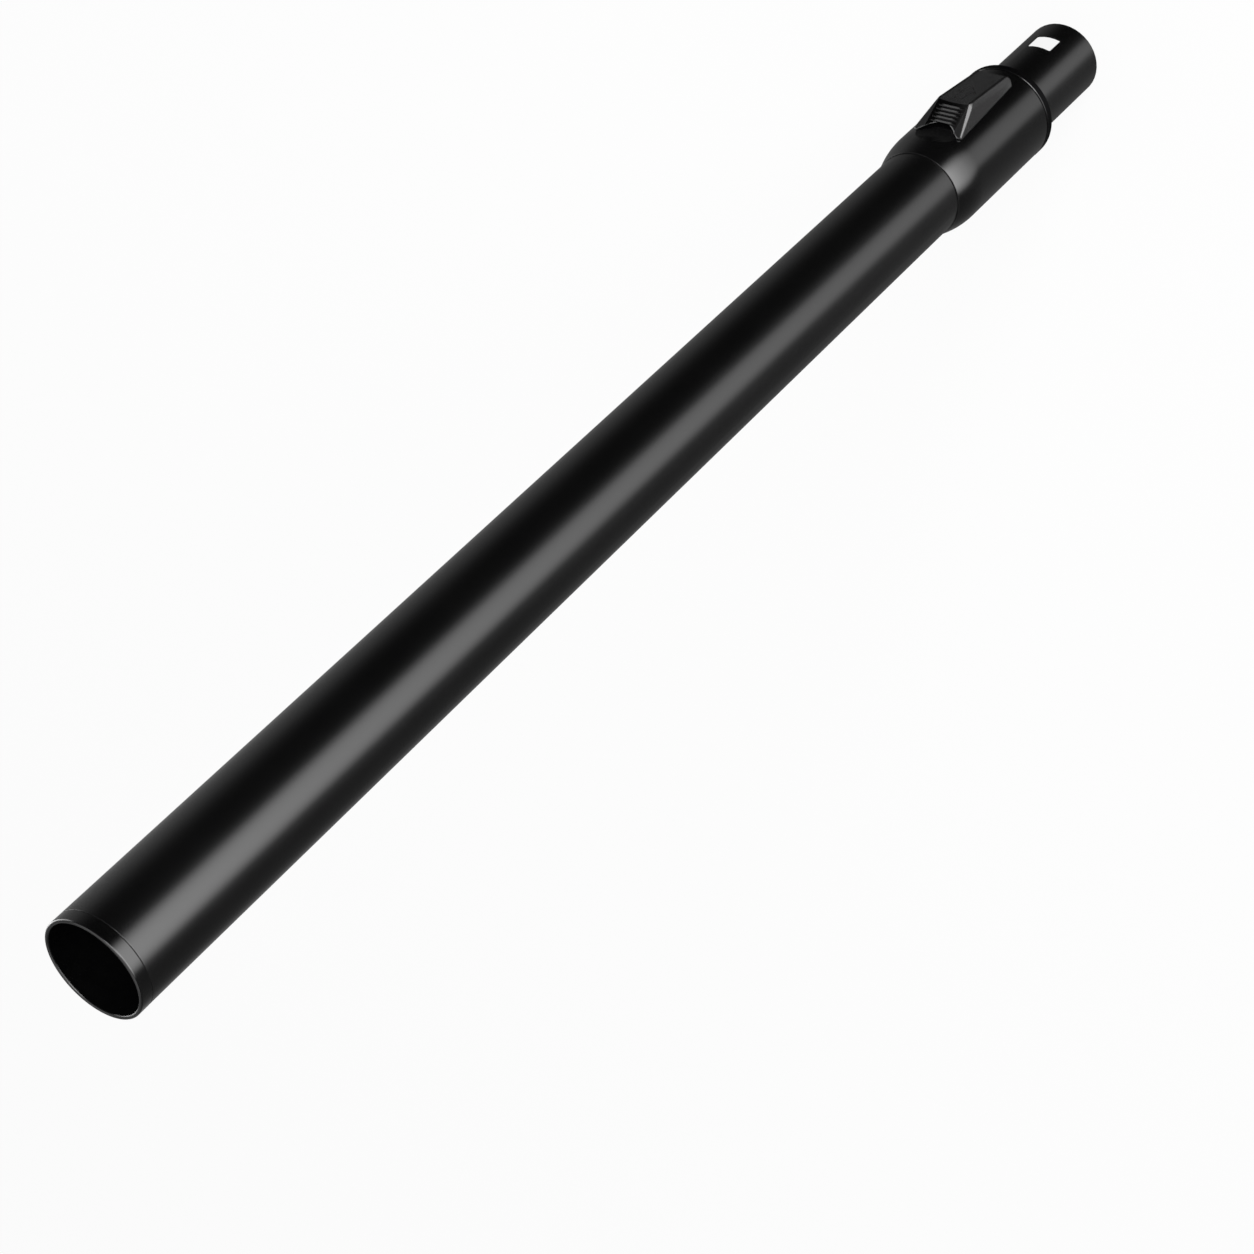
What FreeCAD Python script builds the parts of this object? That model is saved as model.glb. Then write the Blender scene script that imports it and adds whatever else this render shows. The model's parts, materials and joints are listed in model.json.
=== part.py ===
import FreeCAD, Part
import math
import os
import Sketcher

Vector = FreeCAD.Vector
Placement = FreeCAD.Placement
Rotation = FreeCAD.Rotation

# Telescopic vacuum wand, standing on the free end of its inner tube.
# Heights are measured up the wand from that end, and the release button faces -Y.
# Driving sizes, in millimetres and degrees.
SIZES = {
    "wand_length": 646.0,  # collapsed, end to end
    "outer_tube_radius": 19.0,
    "inner_tube_radius": 17.5,
    "tube_wall": 0.7,
    "slide_fit": 0.1,  # radial clearance of the sliding bushes
    "free_gap": 0.3,  # clearance of pieces that move past each other
    "spigot_radius": 17.3,  # sized end that a floor head slips over
    "spigot_length": 53.5,
    "spigot_step": 0.5,
    "end_chamfer": 0.22,
    "window_start": 13.0,
    "window_height": 11.2,
    "window_width": 11.2,
    "window_round": 0.8,
    "notch_pitch": 34.0,
    "notch_depth": 1.5,
    "notch_radius": 2.6,
    "key_width": 4.4,
    "key_height": 0.7,
    "stop_length": 3.0,
    "seal_length": 8.0,
    "bush_length": 36.0,
    "bush_lip": 1.5,
    "socket_radius": 17.55,
    "socket_depth": 55.0,
    "lip_length": 5.0,
    "lip_round": 0.6,
    "seam_chamfer": 0.25,
    "snap_radius": 2.4,
    "snap_inset": 9.0,
    "ring_gap": 0.5,  # from the spigot's step to the end ring
    "ring_length": 4.8,
    "ring_radius": 22.3,
    "ring_dish": 1.5,
    "ring_rim": 1.0,
    "ring_chamfer": 0.4,
    "seam_gap": 0.9,  # groove between the end ring and the collar
    "tongue_radius": 21.2,
    "tongue_wall": 0.9,
    "wiper_length": 2.0,
    "flange_length": 2.0,
    "collar_radius": 22.2,
    "collar_length": 58.7,  # up to the shoulder
    "shoulder_length": 16.4,
    "collar_shoulder_radius": 22.1,
    "collar_lip": 0.35,
    "sleeve_overrun": 1.0,  # past the start of the shoulder
    "dish_radius": 25.0,
    "dish_depth": 1.8,
    "dish_overrun": 0.5,  # centre of the dish past the start of the shoulder
    "lock_offset": 30.7,  # from the collar's mouth to the roller
    "roller_radius": 2.2,
    "roller_length": 9.0,
    "roller_bite": 1.2,  # how deep the roller drops below the tube's surface
    "journal_radius": 1.0,
    "button_travel": 5.0,
    "cheek_start": 6.2,
    "cheek_wall": 2.2,
    "cheek_margin": 1.6,
    "hook_reach": 1.2,
    "hook_wall": 0.8,
    "slot_fit": 0.15,
    "button_front": 24.0,  # from the roller to the end that faces the inner tube
    "button_rear": 28.0,
    "button_front_half": 9.2,
    "button_rear_half": 11.2,
    "button_edge": 0.5,
    "button_corner": 1.6,
    "pad_front_half": 7.1,
    "pad_rear_half": 8.1,
    "pad_front_bevel": 1.4,
    "pad_rear_bevel": 0.6,
    "pad_front_step": 2.5,
    "pad_rear_step": 1.8,
    "pad_front_radius": 24.6,
    "pad_rear_radius": 29.8,
    "pad_round": 0.6,
    "nose_run": 1.6,
    "nose_rise": 2.4,
    "ramp_reach": 15.5,  # from the crest to the button's rear end
    "ramp_angle": 27.0,
    "strip_width": 0.65,  # flat strip on each side edge of the ramp
    "strip_drop": 1.5,
    "strip_fade": 0.5,  # share lost towards the rear end
    "scoop_radius": 26.0,
    "scoop_depth": 1.0,
    "rib_start": 2.6,
    "rib_pitch": 2.0,
    "rib_width": 0.8,
    "rib_rise": 0.7,
    "rib_length": 11.6,
    "spring_length": 10.4,
    "spring_radius": 1.15,
    "spring_wire": 0.5,
    "spring_turns": 5.0,
    "spring_depth": 20.7,
    "lug_length": 2.0,
    "lug_half": 1.4,
}
RIB_COUNT = 5
WIRE_SIDES = 6
LIP_STEPS = 4
CUT_REACH = 2.0  # how far past its wall a cutting solid runs

doc = FreeCAD.newDocument("VacuumWand")
sheet = doc.addObject("Spreadsheet::Sheet", "Sheet")
for row, (alias, value) in enumerate(SIZES.items(), start=1):
    sheet.set(f"A{row}", alias.replace("_", " "))
    sheet.set(f"B{row}", str(value))
    sheet.setAlias(f"B{row}", alias)
doc.recompute()


class Size:
    """A size held both as a number and as the matching expression on the sheet."""

    def __init__(self, value, text):
        self.value = value
        self.text = text

    def join(self, other, sign, value):
        return Size(value, f"({self.text} {sign} {as_size(other).text})")

    def __add__(self, other):
        return self.join(other, "+", self.value + as_size(other).value)

    def __sub__(self, other):
        return self.join(other, "-", self.value - as_size(other).value)

    def __mul__(self, other):
        return self.join(other, "*", self.value * as_size(other).value)

    def __truediv__(self, other):
        return self.join(other, "/", self.value / as_size(other).value)

    def __neg__(self):
        return self * -1

    def __radd__(self, other):
        return as_size(other) + self

    def __rsub__(self, other):
        return as_size(other) - self

    def __rmul__(self, other):
        return as_size(other) * self


def as_size(item):
    return item if isinstance(item, Size) else Size(float(item), f"{item}")


def size(alias):
    return Size(float(sheet.get(alias)), f"Sheet.{alias}")


def root(item):
    return Size(math.sqrt(item.value), f"sqrt({item.text})")


def sine(item):
    return Size(math.sin(math.radians(item.value)), f"sin({item.text})")


def cosine(item):
    return Size(math.cos(math.radians(item.value)), f"cos({item.text})")


def chord(radius, offset):
    """Distance from the axis plane to a circle of this radius at this sideways offset."""
    return root(radius * radius - offset * offset)


def bind(item, prop, value):
    item.setExpression(prop, value.text)


def new_body(label):
    body = doc.addObject("PartDesign::Body", "Body_" + label)
    body.Label = label
    return body


def new_sketch(body, role, offset=None):
    """An empty sketch on one of the body's own origin planes, or parallel to it."""
    sketch = body.newObject("Sketcher::SketchObject", "Sketch")
    plane = next(item for item in body.Origin.OriginFeatures if item.Role == role)
    sketch.AttachmentSupport = [(plane, "")]
    sketch.MapMode = "FlatFace"
    if offset is not None:
        sketch.AttachmentOffset = Placement(Vector(0, 0, offset.value), Rotation())
        bind(sketch, "AttachmentOffset.Base.z", offset)
    return sketch


def pin_point(sketch, index, end, place):
    """Hold one end of a line, or a circle's centre, at a pair of sizes."""
    for kind, coordinate in zip(("DistanceX", "DistanceY"), place):
        at = as_size(coordinate)
        constraint = sketch.addConstraint(Sketcher.Constraint(kind, -1, 1, index, end, at.value))
        sketch.setExpression(f"Constraints[{constraint}]", at.text)


def add_polygon(sketch, corners, arc_side=None):
    """A closed outline through the corners; the side arc_side is an arc tangent to the side before it."""
    first = sketch.GeometryCount
    count = len(corners)
    points = [Vector(as_size(x).value, as_size(y).value, 0) for x, y in corners]
    for side in range(count):
        here = points[side]
        there = points[(side + 1) % count]
        if side == arc_side:
            sketch.addGeometry(tangent_arc(points[side - 1], here, there))
        else:
            sketch.addGeometry(Part.LineSegment(here, there))
    for side in range(count):
        following = (side + 1) % count
        ends = arc_ends(sketch.Geometry[first + side], points[side])
        next_ends = arc_ends(sketch.Geometry[first + following], points[following])
        kind = "Tangent" if following == arc_side else "Coincident"
        join = Sketcher.Constraint(kind, first + side, ends[1], first + following, next_ends[0])
        sketch.addConstraint(join)
        pin_point(sketch, first + side, ends[0], corners[side])


def tangent_arc(before, here, there):
    """The arc from here to there that leaves along the direction from before to here."""
    along = (here - before).normalize()
    across = Vector(-along.y, along.x, 0)
    chord_line = there - here
    radius = chord_line.dot(chord_line) / (2 * chord_line.dot(across))
    centre = here + across * radius
    middle = (here + there) * 0.5 - centre
    crown = centre + middle.normalize() * abs(radius)
    return Part.Arc(here, crown, there)


def arc_ends(curve, start):
    """The sketch's numbers for the two ends of a side, start first."""
    return (1, 2) if (curve.StartPoint - start).Length < 1e-6 else (2, 1)


def add_circle(sketch, x, y, radius):
    centre = Vector(as_size(x).value, as_size(y).value, 0)
    index = sketch.addGeometry(Part.Circle(centre, Vector(0, 0, 1), as_size(radius).value))
    pin_point(sketch, index, 3, (x, y))
    constraint = sketch.addConstraint(Sketcher.Constraint("Radius", index, as_size(radius).value))
    sketch.setExpression(f"Constraints[{constraint}]", as_size(radius).text)


def box_corners(left, bottom, right, top):
    return [(left, bottom), (right, bottom), (right, top), (left, top)]


def add_feature(body, kind, name, cuts):
    """A new feature on the body, with its volume before, so that an idle cut is noticed."""
    volume = body.Shape.Volume if body.Tip else 0.0
    feature = body.newObject("PartDesign::" + kind, name)
    feature_log.append((body, feature, cuts, volume))
    return feature


feature_log = []


def finish_feature(body, feature):
    body.Tip = feature
    doc.recompute()
    logged = next(entry for entry in feature_log if entry[1] is feature)
    change = body.Shape.Volume - logged[3]
    if (change >= 0) if logged[2] else (change <= 0):
        raise ValueError(f"{body.Label}: {feature.Name} changed nothing")


def revolve(body, corners, arc_side=None, kind="Revolution", name="Turned"):
    """Turn an outline of (radius, height) corners about the wand's axis."""
    sketch = new_sketch(body, "XZ_Plane")
    add_polygon(sketch, corners, arc_side)
    feature = add_feature(body, kind, name, kind == "Groove")
    feature.Profile = sketch
    feature.ReferenceAxis = (sketch, ["V_Axis"])
    feature.Angle = 360
    finish_feature(body, feature)
    return feature


def extrude(body, sketch, length, kind, name, symmetric=False, backwards=False):
    feature = add_feature(body, kind, name, kind == "Pocket")
    feature.Profile = sketch
    feature.SideType = "Symmetric" if symmetric else "One side"
    feature.Reversed = backwards
    bind(feature, "Length", as_size(length))
    finish_feature(body, feature)
    return feature


def front_pocket(body, outlines, depth, name):
    """Cut outlines of (sideways, height) corners into the button's side, from the axis plane out."""
    sketch = new_sketch(body, "XZ_Plane")
    for corners in outlines:
        add_polygon(sketch, corners)
    return extrude(body, sketch, depth, "Pocket", name, backwards=True)


def cross_feature(body, kind, name, width, corners=None, circle=None):
    """Add or cut along X, centred, an outline or circle of (depth, height) with depth along Y."""
    sketch = new_sketch(body, "YZ_Plane")
    if circle:
        add_circle(sketch, *circle)
    for outline in corners or []:
        add_polygon(sketch, outline)
    return extrude(body, sketch, width, kind, name, symmetric=True)


def repeat_up(body, feature, pitch, count, name):
    """Copy a feature up the wand's axis."""
    pattern = add_feature(body, "LinearPattern", name, feature.TypeId.endswith("Pocket"))
    pattern.Originals = [feature]
    axis = next(item for item in body.Origin.OriginFeatures if item.Role == "Z_Axis")
    pattern.Direction = (axis, [""])
    pattern.Occurrences = count
    bind(pattern, "Length", pitch * (count - 1))
    finish_feature(body, pattern)


def round_edges(body, names, radius, name):
    if not names:
        raise ValueError(f"{body.Label}: no edge for {name}")
    base = body.Tip
    fillet = body.newObject("PartDesign::Fillet", name)
    fillet.Base = (base, names)
    bind(fillet, "Radius", radius)
    body.Tip = fillet
    doc.recompute()


def snap_lugs(body, height, outer, inner):
    """Two round lugs on the X axis, from the radius outer in to the radius inner."""
    lug = snap_radius - slide_fit
    cross_feature(body, "Pad", "SnapRod", outer * 2, circle=(0, height, lug))
    corners = box_corners(0, height - lug - CUT_REACH, inner, height + lug + CUT_REACH)
    revolve(body, corners, kind="Groove", name="SnapBore")


def snap_holes(body, height, outer):
    cross_feature(body, "Pocket", "SnapHoles", (outer + CUT_REACH) * 2, circle=(0, height, snap_radius))


# Sizes that several pieces share.
outer_radius = size("outer_tube_radius")
inner_radius = size("inner_tube_radius")
wall = size("tube_wall")
slide_fit = size("slide_fit")
free_gap = size("free_gap")
spigot_radius = size("spigot_radius")
snap_radius = size("snap_radius")
outer_bore = outer_radius - wall
inner_bore = inner_radius - wall
spigot_end = size("spigot_length")
step_end = spigot_end + size("spigot_step")
ring_face = step_end + size("ring_gap")
collar_start = ring_face + size("ring_length")
shoulder_start = collar_start + size("collar_length")
collar_end = shoulder_start + size("shoulder_length")
collar_radius = size("collar_radius")
tongue_radius = size("tongue_radius")
tongue_bore = tongue_radius - size("tongue_wall")
wiper_end = collar_start + size("wiper_length")
tube_start = wiper_end + size("flange_length")
sleeve_end = shoulder_start + size("sleeve_overrun")
wand_length = size("wand_length")
tube_end = wand_length - size("lip_length")
socket_start = wand_length - size("socket_depth")
bush_end = socket_start - free_gap
inner_tube_end = bush_end - size("bush_lip")
rear_radius = outer_bore - slide_fit
sleeve_bore = inner_radius + slide_fit
collar_snap_height = collar_end - size("snap_inset")
rear_snap_height = inner_tube_end - size("snap_inset")

# The inner tube slides out by whole notches until its stop ring nears the guide sleeve.
bush_start = bush_end - size("bush_length")
seal_start = bush_start - size("seal_length")
notch_pitch = size("notch_pitch")
travel_room = seal_start - size("stop_length") - sleeve_end - free_gap
notch_steps = int(travel_room.value // notch_pitch.value)
stop_start = sleeve_end + notch_pitch * notch_steps + free_gap
stop_end = stop_start + size("stop_length")

# The lock: a roller that a slot in the button's cheeks lifts out of a notch.
lock_height = collar_start + size("lock_offset")
roller_radius = size("roller_radius")
roller_half = size("roller_length") / 2
roller_depth = inner_radius - size("roller_bite") + roller_radius
release_lift = size("roller_bite") + free_gap
button_travel = size("button_travel")
cheek_start = size("cheek_start")
cheek_end = cheek_start + size("cheek_wall")
slot_half = size("journal_radius") + size("slot_fit")
cheek_low = lock_height - slot_half - size("cheek_margin")
cheek_high = lock_height + button_travel + slot_half + size("cheek_margin")
opening_low = cheek_low - button_travel - free_gap
opening_high = cheek_high + free_gap
opening_half = cheek_end + size("hook_reach") + free_gap
underside_radius = collar_radius + free_gap
lug_end = opening_low - free_gap * 2
lug_start = lug_end - size("lug_length")
spring_start = lug_start - free_gap - size("spring_length")
button_start = lock_height - size("button_front")
button_end = lock_height + size("button_rear")


def make_inner_tube():
    """Steel tube with a sized spigot end, a square latch window, pressed notches and a key groove."""
    body = new_body("inner_tube")
    chamfer = size("end_chamfer")
    spigot_bore = spigot_radius - wall
    revolve(body, [
        (spigot_bore, chamfer),
        (spigot_bore + chamfer, 0),
        (spigot_radius - chamfer, 0),
        (spigot_radius, chamfer),
        (spigot_radius, spigot_end),
        (inner_radius, step_end),
        (inner_radius, inner_tube_end),
        (inner_bore, inner_tube_end),
        (inner_bore, step_end),
        (spigot_bore, spigot_end),
    ])
    notch_radius = size("notch_radius")
    notch_half = roller_half + free_gap
    notch_centre = inner_radius - size("notch_depth") + notch_radius
    key_half = size("key_width") / 2 + free_gap
    key_floor = inner_radius - size("key_height") - free_gap
    pressing = cross_feature(
        body, "Pad", "NotchPressing", (notch_half + wall) * 2,
        circle=(-notch_centre, lock_height, notch_radius + wall))
    repeat_up(body, pressing, notch_pitch, notch_steps + 1, "NotchPressings")
    channel = new_sketch(body, "XY_Plane", tube_start)
    add_polygon(channel, box_corners(-key_half - wall, key_floor - wall, key_half + wall, inner_radius))
    extrude(body, channel, stop_start - tube_start, "Pad", "KeyPressing")
    trim = inner_radius + notch_radius * 2
    revolve(body, box_corners(inner_radius, step_end, trim, inner_tube_end), kind="Groove", name="TubeSkin")
    notch = cross_feature(
        body, "Pocket", "Notch", notch_half * 2, circle=(-notch_centre, lock_height, notch_radius))
    repeat_up(body, notch, notch_pitch, notch_steps + 1, "Notches")
    groove = new_sketch(body, "XY_Plane", tube_start)
    add_polygon(groove, box_corners(-key_half, key_floor, key_half, inner_radius + CUT_REACH))
    extrude(body, groove, stop_start - tube_start, "Pocket", "KeyGroove", backwards=True)
    window_half = size("window_width") / 2
    window_low = size("window_start")
    window_high = window_low + size("window_height")
    window = [box_corners(-window_half, window_low, window_half, window_high)]
    front_pocket(body, window, inner_radius + CUT_REACH, "LatchWindow")
    snap_holes(body, rear_snap_height, inner_radius)
    corners = window_corners(body.Shape, window_half, (window_low, window_high))
    round_edges(body, corners, size("window_round"), "WindowCorners")
    return body


def window_corners(shape, half, heights):
    """Names of the short edges through the wall at the window's corners."""
    names = []
    for number, edge in enumerate(shape.Edges, start=1):
        middle = edge.CenterOfMass
        sideways = abs(abs(middle.x) - half.value) < 1e-3
        if sideways and any(abs(middle.z - level.value) < 1e-3 for level in heights):
            names.append(f"Edge{number}")
    return names


def make_rear_bush():
    """Plastic bush snapped over the inner tube's hidden end, running in the outer tube."""
    body = new_body("rear_bush")
    revolve(body, [
        (inner_radius, bush_start),
        (rear_radius, bush_start),
        (rear_radius, bush_end),
        (inner_bore, bush_end),
        (inner_bore, inner_tube_end),
        (inner_radius, inner_tube_end),
    ])
    snap_lugs(body, rear_snap_height, inner_radius + slide_fit, inner_bore)
    return body


def make_ring(label, bore, radius, low, high):
    body = new_body(label)
    revolve(body, box_corners(bore, low, radius, high))
    return body


def make_outer_tube():
    """Steel tube from the collar to the socket lip, cut away under the lock."""
    body = new_body("outer_tube")
    revolve(body, box_corners(outer_bore, tube_start, outer_radius, tube_end))
    opening = box_corners(-opening_half, opening_low, opening_half, opening_high)
    front_pocket(body, [opening], outer_radius + CUT_REACH, "LockOpening")
    snap_holes(body, collar_snap_height, outer_radius)
    return body


def make_socket_bush():
    """Liner of the open end, with a rounded lip as wide as the tube."""
    body = new_body("socket_bush")
    socket_radius = size("socket_radius")
    chamfer = size("seam_chamfer")
    turns = [as_size(90 / LIP_STEPS * step) for step in range(LIP_STEPS + 1)]
    lip = [(size("lip_round") * (1 - cosine(turn)), size("lip_round") * (1 - sine(turn))) for turn in turns]
    outer_lip = [(outer_radius - inset, wand_length - fall) for inset, fall in lip]
    inner_lip = [(socket_radius + inset, wand_length - fall) for inset, fall in reversed(lip)]
    revolve(body, [
        (socket_radius, socket_start),
        (outer_bore, socket_start),
        (outer_bore, tube_end),
        (outer_radius - chamfer, tube_end),
        (outer_radius, tube_end + chamfer),
    ] + outer_lip + inner_lip)
    return body


def make_collar_housing():
    """Moulded collar: round shoulder, thumb dish, slots for the button's cheeks, roller and spring."""
    body = new_body("collar_housing")
    revolve(body, [
        (outer_radius, tube_start),
        (tongue_radius, tube_start),
        (tongue_radius, collar_start),
        (collar_radius, collar_start),
        (size("collar_shoulder_radius"), shoulder_start),
        (outer_radius + size("collar_lip"), collar_end),
        (outer_radius, collar_end),
    ], arc_side=4)
    dish_radius = size("dish_radius")
    dish_centre = size("collar_shoulder_radius") - size("dish_depth") + dish_radius
    cross_feature(
        body, "Pocket", "ThumbDish", collar_radius * 4,
        circle=(-dish_centre, shoulder_start + size("dish_overrun"), dish_radius))
    inner = cheek_start - free_gap
    outer = cheek_end + free_gap
    reach = collar_radius + CUT_REACH
    front_pocket(body, [
        box_corners(inner, opening_low, outer, opening_high),
        box_corners(-outer, opening_low, -inner, opening_high),
    ], reach, "CheekSlots")
    roller_room = roller_radius + free_gap
    front_pocket(body, [
        box_corners(-outer, lock_height - roller_room, outer, lock_height + roller_room),
    ], reach, "RollerSlot")
    trough_half = size("spring_radius") + size("spring_wire") / 2 + free_gap
    front_pocket(body, [
        box_corners(-trough_half, spring_start - slide_fit, trough_half, lug_end + free_gap),
    ], reach, "SpringTrough")
    snap_lugs(body, collar_snap_height, outer_radius + slide_fit, outer_bore)
    return body


def make_end_ring():
    """Cap ring of the collar, with a dished face and a tongue inside the collar."""
    body = new_body("end_ring")
    bore = inner_radius + free_gap
    radius = size("ring_radius")
    chamfer = size("ring_chamfer")
    seam = size("seam_chamfer")
    groove_start = collar_start - size("seam_gap")
    revolve(body, [
        (bore, ring_face + size("ring_dish")),
        (radius - size("ring_rim"), ring_face),
        (radius - chamfer, ring_face),
        (radius, ring_face + chamfer),
        (radius, groove_start - seam),
        (radius - seam, groove_start),
        (tongue_radius, groove_start),
        (tongue_radius, tube_start),
        (tongue_bore, tube_start),
        (tongue_bore, collar_start),
        (bore, collar_start),
    ])
    return body


def make_guide_sleeve():
    """Plastic sleeve between the tubes, with a flange at the collar's mouth and a key for the groove."""
    body = new_body("guide_sleeve")
    revolve(body, [
        (sleeve_bore, wiper_end),
        (tongue_bore - slide_fit, wiper_end),
        (tongue_bore - slide_fit, tube_start),
        (outer_bore, tube_start),
        (outer_bore, sleeve_end),
        (sleeve_bore, sleeve_end),
    ])
    key_half = size("key_width") / 2
    key = new_sketch(body, "XY_Plane", tube_start + free_gap)
    key_floor = inner_radius - size("key_height")
    add_polygon(key, box_corners(-key_half, key_floor, key_half, sleeve_bore + slide_fit))
    extrude(body, key, sleeve_end - tube_start - free_gap, "Pad", "Key")
    opening = box_corners(-opening_half, opening_low, opening_half, opening_high)
    front_pocket(body, [opening], outer_radius + CUT_REACH, "LockOpening")
    return body


def make_slide_button():
    """Saddle button: bevelled wedge, scooped and ribbed thumb ramp, and cheeks with lifting slots."""
    body = new_body("slide_button")
    ends = [button_section(body, height, *pad_at(height)) for height in (button_start, button_end)]
    wedge = add_feature(body, "AdditiveLoft", "Wedge", False)
    wedge.Profile = ends[0]
    wedge.Sections = [ends[1]]
    wedge.Ruled = True
    finish_feature(body, wedge)
    cut_nose(body)
    crest = cut_ramp(body)
    cut_strips(body, crest)
    round_edges(body, pad_rim(body.Shape), size("pad_round"), "PadRound")
    cut_scoop(body, crest)
    add_ribs(body, crest)
    cut_corners(body)
    bore_corners = box_corners(0, button_start - CUT_REACH, underside_radius, button_end + CUT_REACH)
    revolve(body, bore_corners, kind="Groove", name="Underside")
    roof = roller_depth + release_lift + roller_radius + free_gap
    roller_room = roller_radius + free_gap
    roller_half_room = roller_half + free_gap
    front_pocket(body, [box_corners(
        -roller_half_room, lock_height - roller_room,
        roller_half_room, lock_height + button_travel + roller_room)], roof, "RollerRoom")
    add_cheeks(body)
    return body


def pad_at(height):
    """Half width of the skirt, then the pad's half width, radius, bevel and step, at a height."""
    share = (height - button_start) / (button_end - button_start)
    ends = [("button_front_half", "button_rear_half")]
    ends += [("pad_front_" + kind, "pad_rear_" + kind) for kind in ("half", "radius", "bevel", "step")]
    return [size(front) + (size(rear) - size(front)) * share for front, rear in ends]


def button_section(body, height, half, pad_half, top, bevel, step):
    """Section of the wedge across the wand: skirt edge, flank, bevel and flat pad, mirrored."""
    shoulder = top - step
    foot_half = pad_half + bevel
    edge = chord(underside_radius, half) + size("button_edge")
    base = chord(underside_radius, half) - free_gap
    right = [(half, -base), (half, -edge), (foot_half, -shoulder), (pad_half, -top)]
    left = [(-x, y) for x, y in reversed(right)]
    sketch = new_sketch(body, "XY_Plane", height)
    add_polygon(sketch, right + left)
    return sketch


def cut_nose(body):
    """Slope the end that faces the inner tube."""
    foot = size("pad_front_radius") - size("nose_rise")
    slope = size("nose_run") / size("nose_rise")
    reach = size("nose_rise") * 2
    below = button_start - CUT_REACH
    corners = [
        (-foot, button_start),
        (-foot - reach, button_start + reach * slope),
        (-foot - reach, below),
        (-foot, below),
    ]
    cross_feature(body, "Pocket", "Nose", size("button_rear_half") * 3, corners=[corners])


def cut_ramp(body):
    """Flat thumb ramp that falls from the crest to the button's rear end. Returns the crest's place."""
    crest_height = button_end - size("ramp_reach")
    crest = (pad_at(crest_height)[2], crest_height)
    angle = size("ramp_angle")
    reach = size("ramp_reach") * 2
    corners = [
        ramp_point(crest, angle, 0, 0),
        ramp_point(crest, angle, reach, 0),
        ramp_point(crest, angle, reach, reach),
        ramp_point(crest, angle, 0, reach),
    ]
    cross_feature(body, "Pocket", "Ramp", size("button_rear_half") * 3, corners=[corners])
    return crest


def cut_strips(body, crest):
    """Flat strips along the ramp's two side edges, running out past the crest."""
    for side in (1, -1):
        ends = [
            strip_section(body, crest, height, side)
            for height in (crest[1] - CUT_REACH * 2, button_end + CUT_REACH)
        ]
        strip = add_feature(body, "SubtractiveLoft", "Strip", True)
        strip.Profile = ends[0]
        strip.Sections = [ends[1]]
        strip.Ruled = True
        finish_feature(body, strip)


def strip_section(body, crest, height, side):
    """Triangle whose long side cuts across the ramp's side edge, smaller towards the rear end."""
    angle = size("ramp_angle")
    share = (height - crest[1]) / size("ramp_reach")
    crest_half = pad_at(crest[1])[1]
    edge = crest_half + (size("button_rear_half") - crest_half) * share
    depth = crest[0] - (height - crest[1]) * sine(angle) / cosine(angle)
    kept = 1 - size("strip_fade") * share
    width = size("strip_width") * kept
    drop = size("strip_drop") * kept
    corners = [
        (edge - width * 3, depth + drop),
        (edge + width * 3, depth - drop * 2),
        (edge + width * 3, depth + drop),
    ]
    sketch = new_sketch(body, "XY_Plane", height)
    add_polygon(sketch, [(across * side, -out) for across, out in corners])
    return sketch


def cut_scoop(body, crest):
    """Hollow of the ramp: a cylinder lying along the slope, which leaves a flat strip on both sides."""
    angle = size("ramp_angle")
    radius = size("scoop_radius")
    lift = radius - size("scoop_depth")
    length = button_end - button_start
    start_y, start_height = ramp_point(crest, angle, -length, lift)
    scoop = add_feature(body, "SubtractiveCylinder", "Scoop", True)
    bind(scoop, "Radius", radius)
    bind(scoop, "Height", length * 2)
    scoop.Placement = Placement(
        Vector(0, start_y.value, start_height.value), Rotation(Vector(1, 0, 0), -angle.value))
    bind(scoop, "Placement.Base.y", start_y)
    bind(scoop, "Placement.Base.z", start_height)
    bind(scoop, "Placement.Rotation.Angle", -angle)
    finish_feature(body, scoop)


def cut_corners(body):
    """Take off the four corners of the wedge, seen from the front."""
    cut = size("button_corner")
    outlines = []
    for end, inwards, half in ((button_start, 1, "button_front_half"), (button_end, -1, "button_rear_half")):
        outside = end - CUT_REACH * inwards
        for side in (1, -1):
            edge = size(half) * side
            outlines.append([
                (edge - cut * side, outside),
                (edge - cut * side, end),
                (edge, end + cut * inwards),
                (edge + CUT_REACH * side, end + cut * inwards),
                (edge + CUT_REACH * side, outside),
            ])
    front_pocket(body, outlines, size("pad_rear_radius") + CUT_REACH, "Corners")


def pad_rim(shape):
    """Names of the pad's long side edges and of its front edge."""
    names = []
    for number, edge in enumerate(shape.Edges, start=1):
        if all(on_pad_rim(vertex.Point) for vertex in edge.Vertexes):
            names.append(f"Edge{number}")
    return names


def on_pad_rim(point):
    half, top = pad_at(as_size(point.z))[1:3]
    return abs(abs(point.x) - half.value) < 1e-3 and abs(-point.y - top.value) < 1e-3


def add_ribs(body, crest):
    """Grip ribs across the hollow of the ramp."""
    angle = size("ramp_angle")
    width = size("rib_width") / 2
    floor = size("scoop_depth")
    crown = size("rib_rise") - floor
    outlines = []
    for number in range(RIB_COUNT):
        middle = size("rib_start") + size("rib_pitch") * number
        outlines.append([
            ramp_point(crest, angle, middle + along, up)
            for along, up in ((-width, -floor * 2), (width, -floor * 2), (width, crown), (-width, crown))
        ])
    cross_feature(body, "Pad", "GripRibs", size("rib_length"), corners=outlines)


def ramp_point(crest, angle, along, up):
    """A point of the middle plane, so far down the ramp from the crest and so far above it."""
    depth = crest[0] - along * sine(angle) + up * cosine(angle)
    height = crest[1] + along * cosine(angle) + up * sine(angle)
    return -depth, height


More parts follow.
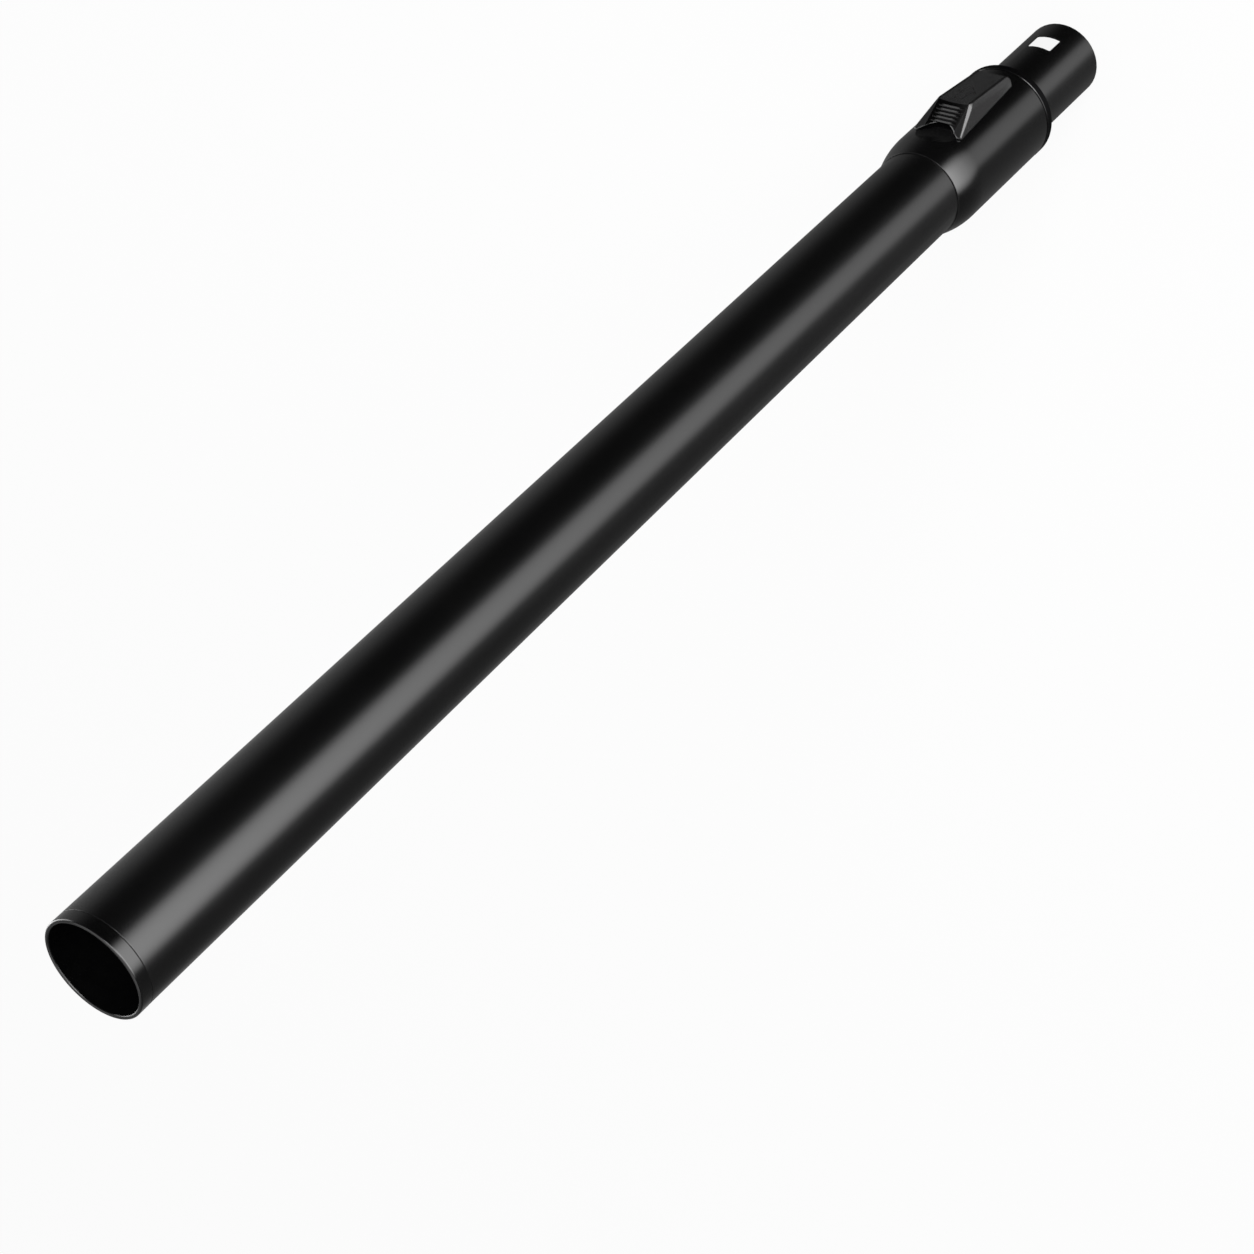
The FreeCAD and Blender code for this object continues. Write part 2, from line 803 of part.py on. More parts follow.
def add_cheeks(body):
    """Two cheeks through the collar with hooked feet and sloping slots, and a lug for the spring."""
    hook_end = cheek_end + size("hook_reach")
    under_collar = outer_radius - free_gap
    root_depth = chord(underside_radius, cheek_end) + size("button_edge") * 2
    clear_radius = inner_radius + free_gap
    hook_top = chord(under_collar, cheek_end)
    hook_tip = chord(under_collar, hook_end)
    foot = hook_tip - size("hook_wall") * 2
    right = [
        (cheek_start, -foot),
        (hook_end, -foot),
        (hook_end, -hook_tip),
        (cheek_end, -hook_top),
        (cheek_end, -root_depth),
        (cheek_start, -root_depth),
    ]
    sketch = new_sketch(body, "XY_Plane", cheek_low)
    add_polygon(sketch, right)
    add_polygon(sketch, [(-x, y) for x, y in reversed(right)])
    extrude(body, sketch, cheek_high - cheek_low, "Pad", "Cheeks")
    lug_half = size("lug_half")
    lug = new_sketch(body, "XY_Plane", lug_start)
    lug_foot = outer_radius + free_gap
    add_polygon(lug, box_corners(-lug_half, -underside_radius - size("button_edge"), lug_half, -lug_foot))
    extrude(body, lug, size("lug_length"), "Pad", "SpringLug")
    clear_corners = box_corners(0, cheek_low - CUT_REACH, clear_radius, cheek_high + CUT_REACH)
    revolve(body, clear_corners, kind="Groove", name="TubeClearance")
    cut_lifting_slots(body)


def cut_lifting_slots(body):
    """Slots that rise by the release lift over the button's travel, round ended for the journals."""
    slope = release_lift / button_travel
    length = root(slope * slope + 1)
    side_depth = slot_half / length
    side_height = slot_half * slope / length
    low = (roller_depth, lock_height)
    high = (roller_depth + release_lift, lock_height + button_travel)
    corners = [
        (-(low[0] - side_depth), low[1] + side_height),
        (-(high[0] - side_depth), high[1] + side_height),
        (-(high[0] + side_depth), high[1] - side_height),
        (-(low[0] + side_depth), low[1] - side_height),
    ]
    cross_feature(body, "Pocket", "LiftSlots", cheek_end * 2, corners=[corners])
    for end, place in (("Low", low), ("High", high)):
        circle = (-place[0], place[1], slot_half)
        cross_feature(body, "Pocket", "SlotEnd" + end, cheek_end * 2, circle=circle)


def make_lock_roller():
    """Turned steel roller with a thinner journal at each end, lying across the wand."""
    body = new_body("lock_roller")
    journal = size("journal_radius")
    end = cheek_end - slide_fit
    sketch = new_sketch(body, "XZ_Plane")
    add_polygon(sketch, [
        (-end, 0),
        (end, 0),
        (end, journal),
        (roller_half, journal),
        (roller_half, roller_radius),
        (-roller_half, roller_radius),
        (-roller_half, journal),
        (-end, journal),
    ])
    feature = add_feature(body, "Revolution", "Turned", False)
    feature.Profile = sketch
    feature.ReferenceAxis = (sketch, ["H_Axis"])
    feature.Angle = 360
    finish_feature(body, feature)
    body.Placement = Placement(Vector(0, -roller_depth.value, lock_height.value), Rotation())
    bind(body, "Placement.Base.y", -roller_depth)
    bind(body, "Placement.Base.z", lock_height)
    return body


def make_button_spring():
    """Coil spring that pushes the button back towards the outer tube."""
    body = new_body("button_spring")
    wire = size("spring_wire") / 2
    sketch = new_sketch(body, "XZ_Plane")
    turns = [as_size(360 / WIRE_SIDES * (side + 0.5)) for side in range(WIRE_SIDES)]
    add_polygon(sketch, [
        (size("spring_radius") + wire * cosine(turn), wire + wire * sine(turn)) for turn in turns
    ])
    coil = add_feature(body, "AdditiveHelix", "Coil", False)
    coil.Profile = sketch
    coil.ReferenceAxis = (sketch, ["V_Axis"])
    coil.Mode = "height-turns-angle"
    bind(coil, "Height", size("spring_length") - size("spring_wire"))
    bind(coil, "Turns", size("spring_turns"))
    finish_feature(body, coil)
    depth = size("spring_depth")
    body.Placement = Placement(Vector(0, -depth.value, spring_start.value), Rotation())
    bind(body, "Placement.Base.y", -depth)
    bind(body, "Placement.Base.z", spring_start)
    return body


pieces = [
    make_inner_tube(),
    make_rear_bush(),
    make_ring("rear_seal", inner_radius, rear_radius, seal_start, bush_start),
    make_ring("stop_ring", inner_radius, rear_radius, stop_start, stop_end),
    make_outer_tube(),
    make_socket_bush(),
    make_collar_housing(),
    make_end_ring(),
    make_guide_sleeve(),
    make_ring("dust_wiper", sleeve_bore, tongue_bore, collar_start, wiper_end),
    make_slide_button(),
    make_lock_roller(),
    make_button_spring(),
]
doc.recompute()

for item in doc.Objects:
    if "Invalid" in item.State or "Error" in item.State:
        raise ValueError(f"{item.Name} failed: {item.State}")
for piece in pieces:
    if piece.Shape.isNull() or not piece.Shape.isValid() or len(piece.Shape.Solids) != 1:
        raise ValueError(f"{piece.Label} is not one valid solid")

os.makedirs("parts", exist_ok=True)
for piece in pieces:
    piece.Shape.exportStep(f"parts/{piece.Label}.step")
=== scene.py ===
import json
import math
import bpy
import numpy as np
from mathutils import Matrix, Vector


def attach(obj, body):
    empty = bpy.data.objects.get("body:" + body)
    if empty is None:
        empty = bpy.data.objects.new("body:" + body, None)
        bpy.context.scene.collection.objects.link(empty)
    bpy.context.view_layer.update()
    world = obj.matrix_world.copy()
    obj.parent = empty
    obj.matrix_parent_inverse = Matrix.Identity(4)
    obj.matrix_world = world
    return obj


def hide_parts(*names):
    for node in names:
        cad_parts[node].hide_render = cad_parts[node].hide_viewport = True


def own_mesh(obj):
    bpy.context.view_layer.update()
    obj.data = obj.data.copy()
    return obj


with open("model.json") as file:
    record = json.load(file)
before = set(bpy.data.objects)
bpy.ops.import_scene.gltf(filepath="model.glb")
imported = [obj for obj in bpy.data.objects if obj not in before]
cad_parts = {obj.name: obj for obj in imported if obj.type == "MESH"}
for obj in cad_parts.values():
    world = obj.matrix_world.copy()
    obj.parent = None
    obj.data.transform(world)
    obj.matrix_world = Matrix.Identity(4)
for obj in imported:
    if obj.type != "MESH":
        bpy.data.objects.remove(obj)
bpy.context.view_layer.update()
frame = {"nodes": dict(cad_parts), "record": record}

nodes = frame["nodes"]
print("frame loaded:", len(nodes), "nodes")


class Field:
    # a socket that can be used in sums, so that 1 - mask adds its own Math node
    def __init__(self, board, socket):
        self.board = board
        self.socket = socket

    def sum(self, operation, *terms):
        return self.board.node("ShaderNodeMath", {"operation": operation}, dict(enumerate(terms)))

    def __add__(self, other):
        return self.sum("ADD", self, other)

    def __radd__(self, other):
        return self.sum("ADD", other, self)

    def __sub__(self, other):
        return self.sum("SUBTRACT", self, other)

    def __rsub__(self, other):
        return self.sum("SUBTRACT", other, self)

    def __mul__(self, other):
        return self.sum("MULTIPLY", self, other)

    def __rmul__(self, other):
        return self.sum("MULTIPLY", other, self)

    def __truediv__(self, other):
        return self.sum("DIVIDE", self, other)

    def __rtruediv__(self, other):
        return self.sum("DIVIDE", other, self)

    def __pow__(self, other):
        return self.sum("POWER", self, other)

    def __rpow__(self, other):
        return self.sum("POWER", other, self)

    def __abs__(self):
        return self.sum("ABSOLUTE", self)

    def atMost(self, most):
        return self.sum("MINIMUM", self, most)

    def atLeast(self, least):
        return self.sum("MAXIMUM", self, least)


class Board:
    # the node tree of a material or of the world, with one method that makes every node
    def __init__(self, owner):
        owner.use_nodes = True
        self.tree = owner.node_tree
        self.tree.nodes.clear()

    def node(self, kind, settings=None, inputs=None, output=0):
        made = self.tree.nodes.new(kind)
        for name, value in (settings or {}).items():
            setattr(made, name, value)
        for name, value in (inputs or {}).items():
            self.join(value, made.inputs[name])
        return Field(self, made.outputs[output]) if made.outputs else None

    def join(self, value, socket):
        if isinstance(value, Field):
            self.tree.links.new(value.socket, socket)
        elif isinstance(value, tuple) and len(value) == 3 and socket.type == "RGBA":
            socket.default_value = (*value, 1.0)
        else:
            socket.default_value = value

    def ramp(self, value, low, high):
        # 0 at low, 1 at high, with a soft S between them; fixed limits may run downwards
        return self.node(
            "ShaderNodeMapRange", {"interpolation_type": "SMOOTHSTEP"},
            {"Value": value, "From Min": low, "From Max": high, "To Min": 0.0, "To Max": 1.0})

    def blend(self, factor, first, second):
        return self.node(
            "ShaderNodeMix", {"data_type": "RGBA"}, {0: factor, 6: first, 7: second}, output=2)

    def noise(self, place, scale, detail=2.0, roughness=0.5):
        return self.node(
            "ShaderNodeTexNoise", None,
            {"Vector": place, "Scale": scale, "Detail": detail, "Roughness": roughness})

    def place(self):
        return self.node("ShaderNodeTexCoord", output="Object")

    def axes(self, vector):
        split = self.node("ShaderNodeSeparateXYZ", None, {0: vector})
        return [Field(self, socket) for socket in split.socket.node.outputs]

    def edges(self, radius):
        return self.node("ShaderNodeBevel", {"samples": 4}, {"Radius": radius})

    def bump(self, height, distance, strength=1.0, normal=None):
        inputs = {"Height": height, "Distance": distance, "Strength": strength}
        if normal is not None:
            inputs["Normal"] = normal
        return self.node("ShaderNodeBump", None, inputs)

    def finish(self, sockets):
        surface = self.node("ShaderNodeBsdfPrincipled", None, sockets)
        self.node("ShaderNodeOutputMaterial", None, {"Surface": surface})


def newFinish(name):
    material = bpy.data.materials.new(name)
    return material, Board(material)


def newPiece(name, points, faces):
    mesh = bpy.data.meshes.new(name)
    mesh.from_pydata(points.reshape(-1, 3).tolist(), [], faces)
    piece = bpy.data.objects.new(name, mesh)
    bpy.context.scene.collection.objects.link(piece)
    return piece


# Black paint on steel: faint orange peel and slow drifts of shade and gloss
paint = {
    "deep": (0.0012, 0.0012, 0.0013), "pale": (0.0026, 0.0026, 0.0027),
    "driftScale": 26.0, "peelScale": 700.0, "peelDepth": 0.000005, "edge": 0.0004,
    "gloss": 0.22, "driftGloss": 0.05, "peelGloss": 0.02,
}


def tubePaint():
    material, board = newFinish("satinTubePaint")
    place = board.place()
    drift = board.noise(place, paint["driftScale"], detail=3.0)
    peel = board.noise(place, paint["peelScale"])
    board.finish({
        "Base Color": board.blend(drift, paint["deep"], paint["pale"]),
        "Roughness": paint["gloss"] + paint["driftGloss"] * drift + paint["peelGloss"] * peel,
        "Normal": board.bump(peel, paint["peelDepth"], normal=board.edges(paint["edge"])),
    })
    return material


# Spark-textured moulding: fine grain in height, colour and gloss
collar = {
    "deep": (0.0010, 0.0010, 0.0011), "pale": (0.0032, 0.0032, 0.0033),
    "driftScale": 60.0, "grainScale": 2600.0, "grainDepth": 0.00001, "grainStrength": 0.6, "edge": 0.0003,
    "gloss": 0.15, "grainGloss": 0.05, "driftGloss": 0.03, "shine": 0.43,
}


def collarPlastic():
    material, board = newFinish("sparkTexturedCollar")
    place = board.place()
    grain = board.noise(place, collar["grainScale"], roughness=0.6)
    drift = board.noise(place, collar["driftScale"])
    edges = board.edges(collar["edge"])
    board.finish({
        "Base Color": board.blend(grain, collar["deep"], collar["pale"]),
        "Roughness": collar["gloss"] + collar["grainGloss"] * grain + collar["driftGloss"] * drift,
        "Specular IOR Level": collar["shine"],
        "Normal": board.bump(grain, collar["grainDepth"], collar["grainStrength"], edges),
    })
    return material


# Smooth moulding of the socket lip
lip = {
    "deep": (0.0010, 0.0010, 0.0011), "pale": (0.0022, 0.0022, 0.0023),
    "streakScale": 320.0, "streakDepth": 0.000006, "edge": 0.0003, "gloss": 0.14, "streakGloss": 0.06,
}


def lipPlastic():
    material, board = newFinish("satinLip")
    streak = board.noise(board.place(), lip["streakScale"], detail=3.0)
    board.finish({
        "Base Color": board.blend(streak, lip["deep"], lip["pale"]),
        "Roughness": lip["gloss"] + lip["streakGloss"] * streak,
        "Normal": board.bump(streak, lip["streakDepth"], normal=board.edges(lip["edge"])),
    })
    return material


# Dull black end ring with a polished edge beside the groove
ring = {
    "deep": (0.0008, 0.0008, 0.0009), "pale": (0.0018, 0.0018, 0.0019),
    "streakScale": 320.0, "streakDepth": 0.000006, "edge": 0.0001,
    "gloss": 0.45, "streakGloss": 0.06, "shine": 0.03,
    "edgeGloss": 0.2, "edgeHeight": 0.0584, "edgeReach": 0.00035,
}


def ringPlastic():
    material, board = newFinish("dullRing")
    place = board.place()
    height = board.axes(place)[2]
    streak = board.noise(place, ring["streakScale"], detail=3.0)
    polishStart = ring["edgeHeight"] - ring["edgeReach"]
    polishFull = ring["edgeHeight"] - ring["edgeReach"] / 2
    board.finish({
        "Base Color": board.blend(streak, ring["deep"], ring["pale"]),
        "Roughness": ring["gloss"] + ring["streakGloss"] * streak,
        "Specular IOR Level": ring["shine"],
        "Coat Weight": board.ramp(height, polishStart, polishFull),
        "Coat Roughness": ring["edgeGloss"],
        "Normal": board.bump(streak, ring["streakDepth"], normal=board.edges(ring["edge"])),
    })
    return material


# Matt moulding of the slide button: painted shade in its ramp's hollow and round its pad, a painted highlight
# on the rib crowns, polished on the ramp's side edges. Pairs of numbers are the limits between which a mask
# fades in.
button = {
    "deep": (0.0132, 0.0132, 0.0134), "pale": (0.0205, 0.0205, 0.0207),
    "paintedShade": (0.0012, 0.0012, 0.0012), "crownHighlight": (0.06, 0.06, 0.06),
    "rubScale": 90.0, "grainScale": 1800.0, "grainDepth": 0.00001, "edge": 0.0006,
    "gloss": 0.24, "grainGloss": 0.08, "rubGloss": 0.06, "hollowGloss": 0.12, "edgeGloss": 0.15,
    "crestHeight": 0.1025, "crestDepth": 0.02825, "crestHalf": 0.0078, "padTaper": 0.0192,
    "rampAngle": 27.0, "rampLength": 0.0155, "rootHalf": 0.0112, "hollowDepth": 0.001, "hollowRadius": 0.026,
    "rampStart": (0.0, 0.0003), "sunk": (-0.00002, -0.0001), "crown": (0.0003, 0.00055),
    "stripHalf": 0.00065, "stripTaper": 0.5, "stripFade": 1.2, "crestFade": 0.06,
    "borderIn": (0.0016, 0.0011), "borderOut": (0.0002, 0.0006),
}


def buttonPlastic():
    material, board = newFinish("satinButton")
    place = board.place()
    grain = board.noise(place, button["grainScale"], roughness=0.6)
    rub = board.noise(place, button["rubScale"], detail=3.0)
    x, y, z = board.axes(place)
    pastCrest = z - button["crestHeight"]
    belowCrest = y + button["crestDepth"]
    beside = abs(x) - button["crestHalf"]
    share = pastCrest / button["rampLength"]

    # ramp: distances along it and above it, and the height of its hollow
    fall, run = (trig(math.radians(button["rampAngle"])) for trig in (math.sin, math.cos))
    along = pastCrest * run + belowCrest * fall
    above = pastCrest * fall - belowCrest * run
    hollow = x * x / (2.0 * button["hollowRadius"]) - button["hollowDepth"]
    onRamp = board.ramp(along, *button["rampStart"]) * board.ramp(hollow, *button["sunk"])
    # painted shade: sunk is the hollow below the ramp's face, which takes the near-black colour
    sunk = onRamp * board.ramp(above, *button["sunk"])
    # painted highlight: crown is the rib tops, which take the pale colour
    crown = onRamp * board.ramp(above - hollow, *button["crown"])

    # narrow strips on the ramp's side edges, which get thinner towards its root
    offEdge = abs(beside - share * (button["rootHalf"] - button["crestHalf"]))
    thinned = offEdge + button["stripTaper"] * button["stripHalf"] * share
    onEdge = board.ramp(thinned, button["stripHalf"] * button["stripFade"], button["stripHalf"])
    worn = board.ramp(share, -button["crestFade"], 0.0) * onEdge

    # painted shade: a dark border a little inside the pad's long edges
    inward = pastCrest * button["padTaper"] - beside
    onPad = board.ramp(share, 0.0, -button["crestFade"])
    paintedEdgeShade = onPad * board.ramp(inward, *button["borderOut"]) * board.ramp(inward, *button["borderIn"])

    skin = board.blend(paintedEdgeShade, board.blend(rub, button["deep"], button["pale"]), button["paintedShade"])
    fine = button["grainGloss"] * grain - button["rubGloss"] * rub
    board.finish({
        "Base Color": board.blend(crown, board.blend(sunk, skin, button["paintedShade"]), button["crownHighlight"]),
        "Roughness": button["gloss"] + fine - button["hollowGloss"] * sunk,
        "Coat Weight": worn,
        "Coat Roughness": button["edgeGloss"],
        "Normal": board.bump(grain, button["grainDepth"], normal=board.edges(button["edge"])),
    })
    return material


# Pieces inside: grey slippery bushes, dense felt and bright steel, each with one fine noise in it
bush = {
    "deep": (0.045, 0.045, 0.047), "pale": (0.06, 0.06, 0.062), "metal": 0.0,
    "scale": 400.0, "detail": 3.0, "roughness": 0.5, "depth": 0.00001, "gloss": 0.45, "noiseGloss": 0.1,
}
felt = {
    "deep": (0.06, 0.058, 0.055), "pale": (0.11, 0.108, 0.105), "metal": 0.0,
    "scale": 3500.0, "detail": 4.0, "roughness": 0.7, "depth": 0.00008, "gloss": 0.85, "noiseGloss": 0.1,
}
steel = {
    "deep": (0.56, 0.56, 0.57), "pale": (0.66, 0.66, 0.67), "metal": 1.0,
    "scale": 1500.0, "detail": 2.0, "roughness": 0.5, "depth": 0.000004, "gloss": 0.24, "noiseGloss": 0.1,
}


def innerFinish(name, look):
    material, board = newFinish(name)
    fleck = board.noise(board.place(), look["scale"], look["detail"], look["roughness"])
    board.finish({
        "Base Color": board.blend(fleck, look["deep"], look["pale"]),
        "Metallic": look["metal"],
        "Roughness": look["gloss"] + look["noiseGloss"] * fleck,
        "Normal": board.bump(fleck, look["depth"]),
    })
    return material


finishes = {
    "tube_paint": tubePaint(),
    "lip_plastic": lipPlastic(),
    "collar_plastic": collarPlastic(),
    "ring_plastic": ringPlastic(),
    "button_plastic": buttonPlastic(),
    "bush_plastic": innerFinish("greyBushPlastic", bush),
    "felt": innerFinish("denseFelt", felt),
    "bare_steel": innerFinish("brightSteel", steel),
}
for part in frame["record"]["subparts"]:
    for slot in nodes[part["node"]].material_slots:
        slot.material = finishes[part["material_slot"]]
print("finishes:", len(finishes))

# Plain arrow outline that shows which way the button slides, a fine dark bead on its pad
arrow = {
    "tip": 0.0852, "barb": 0.0912, "tail": 0.0992, "headHalf": 0.0042, "shaftHalf": 0.0018,
    "lineHalf": 0.00018, "rise": 0.00004, "sink": 0.00005,
    "padStart": 0.066, "padDepth": 0.0246, "padSlope": 0.1,
    "deep": (0.003, 0.003, 0.003), "pale": (0.006, 0.006, 0.006), "gloss": 0.35, "grainGloss": 0.08,
}


def beadLoop(name, outline):
    # closed bead: a box profile (across, up) goes round the outline, and at each corner lies on the bisector,
    # stretched so that the line keeps its width; height z on the pad gives depth d0 + slope * (z - z0)
    points = np.array(outline)
    ahead = np.roll(points, -1, axis=0) - points
    ahead /= np.linalg.norm(ahead, axis=1, keepdims=True)
    normal = np.stack([-ahead[:, 1], ahead[:, 0]], axis=1)
    bisector = normal + np.roll(normal, 1, axis=0)
    bisector /= (bisector * normal).sum(axis=1, keepdims=True)
    across = np.array([-1.0, -1.0, 1.0, 1.0]) * arrow["lineHalf"]
    up = np.array([-arrow["sink"], arrow["rise"], arrow["rise"], -arrow["sink"]])
    spread = points[:, None, :] + bisector[:, None, :] * across[None, :, None]
    depth = arrow["padDepth"] + arrow["padSlope"] * (spread[..., 1] - arrow["padStart"]) + up
    vertices = np.stack([spread[..., 0], -depth, spread[..., 1]], axis=-1)
    index = np.arange(depth.size).reshape(depth.shape)
    onward = np.roll(index, -1, axis=0)
    beside = np.roll(index, -1, axis=1)
    opposite = np.roll(onward, -1, axis=1)
    quads = np.stack([index, onward, opposite, beside], axis=-1).reshape(-1, 4)
    return newPiece(name, vertices, quads.tolist())


def arrowBead():
    rightSide = [
        (arrow["headHalf"], arrow["barb"]),
        (arrow["shaftHalf"], arrow["barb"]),
        (arrow["shaftHalf"], arrow["tail"]),
    ]
    leftSide = [(-x, z) for x, z in reversed(rightSide)]
    bead = beadLoop("slideArrow", [(0.0, arrow["tip"])] + rightSide + leftSide)
    material, board = newFinish("arrowBead")
    grain = board.noise(board.place(), button["grainScale"])
    board.finish({
        "Base Color": board.blend(grain, arrow["deep"], arrow["pale"]),
        "Roughness": arrow["gloss"] + arrow["grainGloss"] * grain,
    })
    bead.data.materials.append(material)
    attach(bead, "button")


arrowBead()
print("arrow on the button")

# Coil spring under the button; the real one shortens as the button comes down, this one keeps its length
coil = {
    "start": 0.06865, "length": 0.0104, "radius": 0.00115, "wire": 0.00025, "turns": 5, "depth": 0.0207,
    "along": 181, "round": 10, "travel": 0.005,
}


def springCoil():
    # wire round a helix: at share t of its way the centre is turned by 2 pi * turns * t and has climbed that
    # share of the length; at angle p round the wire a point lies wire * cos p outwards and wire * sin p up
    share = np.linspace(0.0, 1.0, coil["along"])[:, None]
    around = np.linspace(0.0, 2.0 * np.pi, coil["round"], endpoint=False)[None, :]
    turn = 2.0 * np.pi * coil["turns"] * share
    radius = coil["radius"] + coil["wire"] * np.cos(around)
    climb = (coil["length"] - 2.0 * coil["wire"]) * share
    height = coil["start"] + coil["wire"] * (1.0 + np.sin(around)) + climb
    points = np.stack([radius * np.cos(turn), radius * np.sin(turn) - coil["depth"], height], axis=-1)
    index = np.arange(height.size).reshape(height.shape)
    onward = np.roll(index, -1, axis=1)
    quads = np.stack([index[:-1], index[1:], onward[1:], onward[:-1]], axis=-1).reshape(-1, 4)
    caps = [index[0].tolist(), index[-1, ::-1].tolist()]
    wire = newPiece("springCoil", points, quads.tolist() + caps)
    wire.data.polygons.foreach_set("use_smooth", np.r_[np.ones(len(quads), bool), False, False])
    wire.data.materials.append(finishes["bare_steel"])
    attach(wire, "outer_wand")
    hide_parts("button_spring")
    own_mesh(wire)


springCoil()
print("coil spring")

# Camera: the photograph's place and lens, fitted to the tubes' outlines
shot = {
    "place": (-0.47961, -0.56864, 1.01033), "forward": (0.46756, 0.62047, -0.62960),
    "up": (0.29361, -0.78082, -0.55146), "lens": 77.811, "sensor": 36.0, "nearest": 0.01,
}


def takeShot():
    data = bpy.data.cameras.new("photographView")
    data.lens = shot["lens"]
    data.sensor_width = shot["sensor"]
    data.clip_start = shot["nearest"]
    camera = bpy.data.objects.new("photographView", data)
    forward = Vector(shot["forward"]).normalized()
    right = forward.cross(Vector(shot["up"])).normalized()
    up = right.cross(forward)
    turn = Matrix((right, up, -forward)).transposed().to_4x4()
    camera.matrix_world = Matrix.Translation(shot["place"]) @ turn
    bpy.context.scene.collection.objects.link(camera)
    bpy.context.scene.camera = camera


takeShot()
print("camera placed")

# Studio: pale floor, white surround and a gentle key
studio = {
    "floorHalf": 6.0, "floorLines": 3, "floorWhite": 0.9,
    "floorColour": (0.86, 0.86, 0.86), "speckColour": (0.9, 0.9, 0.9), "speckScale": 300.0, "speckShare": 0.2,
    "keyPlace": (-0.9, -1.3, 1.9), "keyAim": (0.0, 0.0, 0.25), "keySize": 1.2, "keyPower": 38.0, "fill": 0.6,
}


def gridSheet(name, half, lines):
    # flat square: point (u, v) of a grid lies at x = u, y = v, height 0
    side = np.linspace(-half, half, lines)
    x, y = np.meshgrid(side, side)
    points = np.stack([x, y, np.zeros(x.shape)], axis=-1)
    index = np.arange(x.size).reshape(x.shape)
    corners = [index[:-1, :-1], index[:-1, 1:], index[1:, 1:], index[1:, :-1]]
    return newPiece(name, points, np.stack(corners, axis=-1).reshape(-1, 4).tolist())


def layFloor():
    floor = gridSheet("studioFloor", studio["floorHalf"], studio["floorLines"])
    material, board = newFinish("paleFloor")
    speck = board.noise(board.place(), studio["speckScale"])
    colour = board.blend(speck * studio["speckShare"], studio["floorColour"], studio["speckColour"])
    shade = board.node("ShaderNodeBsdfDiffuse", None, {"Color": colour})
    white = board.node("ShaderNodeEmission", None, {"Color": (1.0, 1.0, 1.0), "Strength": 1.0})
    path = board.node("ShaderNodeLightPath", output="Is Camera Ray")
    seen = board.node("ShaderNodeMixShader", None, {0: path * studio["floorWhite"], 1: shade, 2: white})
    board.node("ShaderNodeOutputMaterial", None, {"Surface": seen})
    floor.data.materials.append(material)
    floor.visible_glossy = False  # the satin tubes mirror the studio below them, not the white sheet


# What the satin surfaces mirror: a dark front, grey sides, a tall soft strip on the -X side, a small glint
# on the +X side and a bright ceiling. Headings are in degrees from -Y towards +X. Pairs are the limits of a
# fade, in heights from -1 below to 1 above, or in the part of a level direction along +X or -Y.
mirror = {
    "stripHeading": -65.0, "stripInner": 8.0, "stripOuter": 33.5, "stripSpread": 0.3,
    "stripGlow": 12.0, "stripFall": 1.5, "stripMost": 10.0,
    "lowShare": 0.8, "lowTop": (0.45, 0.0), "highShare": 0.2, "highTop": (0.95, 0.7),
    "frontShade": 0.015, "sideShade": 0.2, "sideTurn": (0.97, 0.35), "sideLeast": 0.3,
    "middle": 0.65, "tiltMost": 0.15, "minusLevel": 0.75, "minusSlope": 0.9,
    "plusTurn": (-0.3, 0.5), "plusLevel": 0.45, "plusSlope": 4.5,
    "ceilingGlow": 1.4, "ceilingStart": (0.6, 0.77),
    "glintGlow": 6.0, "glintTurn": (0.8, 0.95), "glintFoot": (-0.35, -0.1), "glintTop": (0.35, 0.1),
    "pole": 0.0001,
}


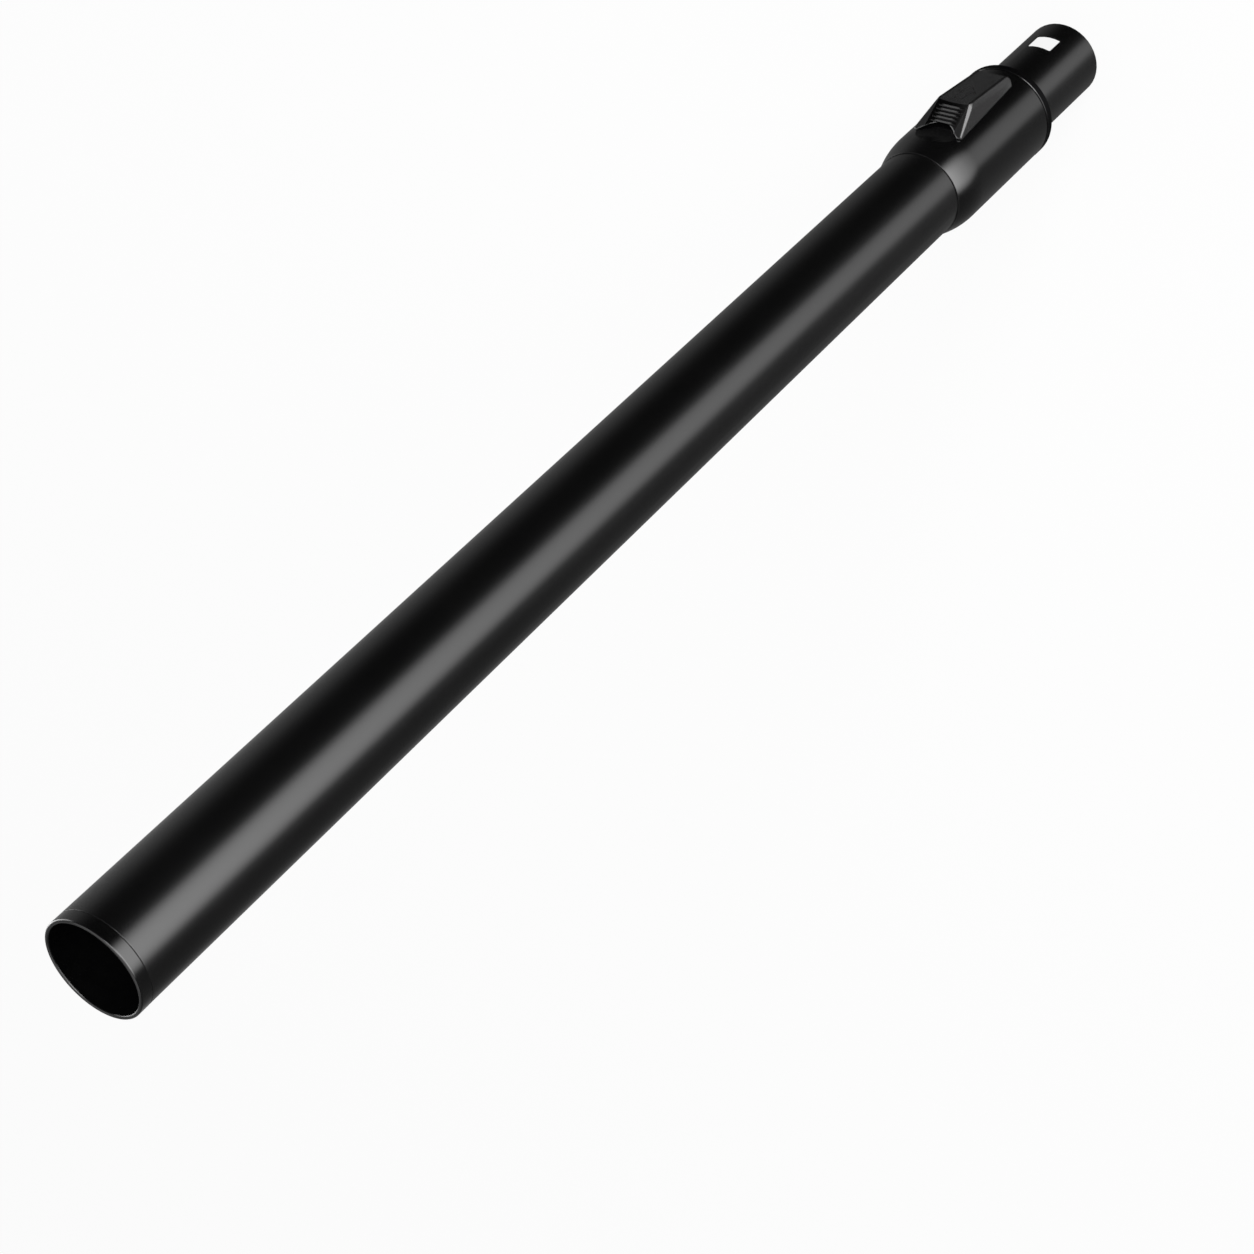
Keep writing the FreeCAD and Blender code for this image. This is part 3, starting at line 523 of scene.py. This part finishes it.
def mirroredStudio(board):
    x, y, z = board.axes(board.node("ShaderNodeTexCoord", output="Generated"))
    flat = (x * x + y * y + mirror["pole"]) ** 0.5
    tilt = (z + mirror["middle"]).atMost(mirror["tiltMost"])

    heading = math.radians(mirror["stripHeading"])
    outer, inner = (math.cos(math.radians(mirror[name])) for name in ("stripOuter", "stripInner"))
    beside = (x * math.sin(heading) - y * math.cos(heading)) / flat
    glow = ((z + 1.0) ** mirror["stripFall"] * mirror["stripGlow"]).atMost(mirror["stripMost"])
    low = mirror["lowShare"] * board.ramp(z, *mirror["lowTop"])
    high = mirror["highShare"] * board.ramp(z, *mirror["highTop"])
    strip = board.ramp(beside, outer - mirror["stripSpread"] * tilt, inner) * glow * (low + high)

    # the +X side brightens upwards, the -X side downwards
    plusSide = board.ramp(x / flat, *mirror["plusTurn"])
    slope = mirror["minusLevel"] - mirror["minusSlope"] * tilt
    slope = slope + plusSide * (mirror["plusLevel"] + mirror["plusSlope"] * tilt)
    side = board.ramp((y * -1.0) / flat, *mirror["sideTurn"]) * slope.atLeast(mirror["sideLeast"])
    shade = mirror["frontShade"] + (mirror["sideShade"] - mirror["frontShade"]) * side

    above = board.ramp(z, *mirror["ceilingStart"])
    glint = board.ramp(x / flat, *mirror["glintTurn"])
    glint = glint * board.ramp(z, *mirror["glintFoot"]) * board.ramp(z, *mirror["glintTop"])
    return shade + (mirror["ceilingGlow"] - shade) * above + strip + mirror["glintGlow"] * glint


def wrapWorld():
    world = bpy.data.worlds.new("studio")
    bpy.context.scene.world = world
    board = Board(world)
    seen = board.node("ShaderNodeLightPath", output="Is Camera Ray")
    outputs = seen.socket.node.outputs
    glossy, through = (Field(board, outputs[name]) for name in ("Is Glossy Ray", "Is Transmission Ray"))
    fill = studio["fill"] * (1.0 - seen) * (1.0 - glossy) * (1.0 - through)
    strength = fill + seen + through + glossy * mirroredStudio(board)
    back = board.node("ShaderNodeBackground", None, {"Color": (1.0, 1.0, 1.0), "Strength": strength})
    board.node("ShaderNodeOutputWorld", None, {"Surface": back})


def hangKey():
    data = bpy.data.lights.new("softKey", "AREA")
    data.size = studio["keySize"]
    data.energy = studio["keyPower"]
    lamp = bpy.data.objects.new("softKey", data)
    aim = Vector(studio["keyAim"]) - Vector(studio["keyPlace"])
    turn = aim.to_track_quat("-Z", "Y").to_matrix().to_4x4()
    lamp.matrix_world = Matrix.Translation(studio["keyPlace"]) @ turn
    lamp.visible_camera = False
    bpy.context.scene.collection.objects.link(lamp)


layFloor()
wrapWorld()
hangKey()
bpy.context.scene.view_settings.view_transform = "Standard"
print("studio set")
